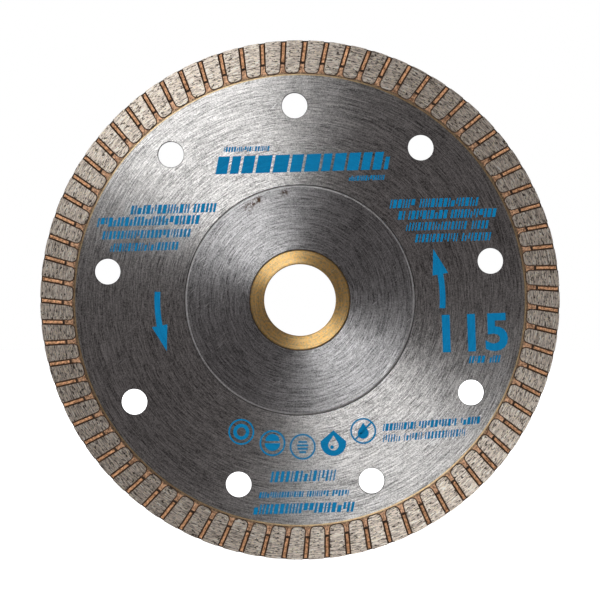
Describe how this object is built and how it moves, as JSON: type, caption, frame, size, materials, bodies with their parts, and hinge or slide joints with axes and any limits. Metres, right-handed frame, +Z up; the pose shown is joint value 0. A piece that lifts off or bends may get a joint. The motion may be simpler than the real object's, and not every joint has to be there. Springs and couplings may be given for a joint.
{
  "type": "diamond blade",
  "caption": "Round continuous-rim turbo cutting blade with a drilled steel core, raised hub discs and a push-out bush in its bore.",
  "frame": {"origin": "centre of the bore, at half the blade's thickness", "axes": "the spin axis is Y; the printed front face looks towards -Y; +Z is up with the blade standing on edge"},
  "size_m": [0.115, 0.0024, 0.115],
  "materials": {
    "core_steel": "brushed in circles",
    "hub_steel": "brushed in circles",
    "sintered_rim": "sintered bronze and diamond grit, ground on the pads, copper coloured in the grooves",
    "bush_brass": "turned, satin"
  },
  "bodies": {
    "blade": {"steel_core": "core_steel", "front_hub_flange": "hub_steel", "rear_hub_flange": "hub_steel", "diamond_rim": "sintered_rim"},
    "bush": {"reducing_bush": "bush_brass"}
  },
  "joints": [
    {"name": "bush_push_out", "type": "slide", "parent": "blade", "child": "bush", "axis": [0, -1, 0], "range_m": [-0.01, 0.01]}
  ]
}
